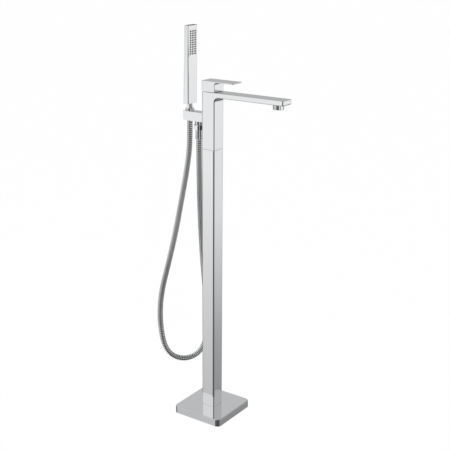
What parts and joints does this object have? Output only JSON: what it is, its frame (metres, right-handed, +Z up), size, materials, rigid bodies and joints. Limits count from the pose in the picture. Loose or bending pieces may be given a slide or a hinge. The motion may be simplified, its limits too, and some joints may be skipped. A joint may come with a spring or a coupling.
{
  "type": "floor standing bath filler",
  "caption": "Floor standing bath filler: square column on a floor plate, flat spout with an aerator, single lever on top, and a stick handset on a ribbed hose in a side holder.",
  "frame": {"origin": "on the floor, on the upright axis of the column", "axes": "+Z up along the column, +X the way the spout points, +Y towards the diverter knob; the handset stands on the -X side"},
  "size_m": [0.35, 0.1538, 1.05],
  "materials": {
    "chrome": "polished",
    "hose": "polished, ribbed",
    "steel": "plain",
    "brass": "raw",
    "rubber": "matt",
    "nozzles": "matt",
    "plastic": "matt",
    "ceramic": "fine ground"
  },
  "bodies": {
    "stand": {"column_tube": "chrome", "spout_body": "chrome", "holder_arm": "chrome", "base_cover": "chrome", "outlet_nipple": "chrome", "hose_outlet_nut": "chrome", "outlet_ferrule": "chrome", "aerator_housing": "chrome", "diverter_bush": "chrome", "hose_drop": "hose", "hose_riser": "hose", "seam_gasket": "rubber", "cover_seal": "rubber", "floor_gasket": "rubber", "cartridge_seals": "rubber", "arm_seal": "rubber", "aerator_washer": "rubber", "outlet_washer": "rubber", "column_sleeve": "steel", "column_screws": "steel", "sleeve_screws": "steel", "floor_flange": "steel", "hot_supply_pipe": "brass", "cold_supply_pipe": "brass", "hot_supply_nut": "brass", "cold_supply_nut": "brass", "cartridge_nut": "brass", "arm_link": "brass", "cartridge_case": "plastic", "aerator_insert": "plastic", "check_valve": "plastic", "ceramic_fixed_disc": "ceramic"},
    "lever_carrier": {"cartridge_turntable": "plastic", "ceramic_turning_disc": "ceramic", "pivot_pin": "steel"},
    "lever": {"lever": "chrome", "lever_stem": "steel", "lever_screw": "steel"},
    "diverter": {"diverter_knob": "chrome", "diverter_spindle": "steel", "diverter_seal": "rubber"},
    "hose_end": {"hose_cone_nut": "chrome", "hose_washer": "rubber", "hose_tail": "brass", "hose_end_ferrule": "chrome"},
    "handset": {"handset_body": "chrome", "handset_connector": "chrome", "spray_plate": "chrome", "nozzle_mat": "nozzles"}
  },
  "joints": [
    {"name": "lever_turn", "type": "hinge", "parent": "stand", "child": "lever_carrier", "pos_m": [0, 0, 0.89], "axis": [0, 0, 1], "range_deg": [-45, 45]},
    {"name": "lever_lift", "type": "hinge", "parent": "lever_carrier", "child": "lever", "pos_m": [-0.01, 0, 0.896], "axis": [0, -1, 0], "range_deg": [0, 18]},
    {"name": "diverter_pull", "type": "slide", "parent": "stand", "child": "diverter", "axis": [0, 1, 0], "range_m": [0, 0.008]},
    {"name": "handset_lift", "type": "slide", "parent": "stand", "child": "hose_end", "axis": [0, 0, 1], "range_m": [0, 0.06], "deforming": ["hose_riser"]},
    {"name": "handset_turn", "type": "hinge", "parent": "hose_end", "child": "handset", "pos_m": [-0.0715, 0, 0.84], "axis": [0, 0, 1], "continuous": true}
  ]
}
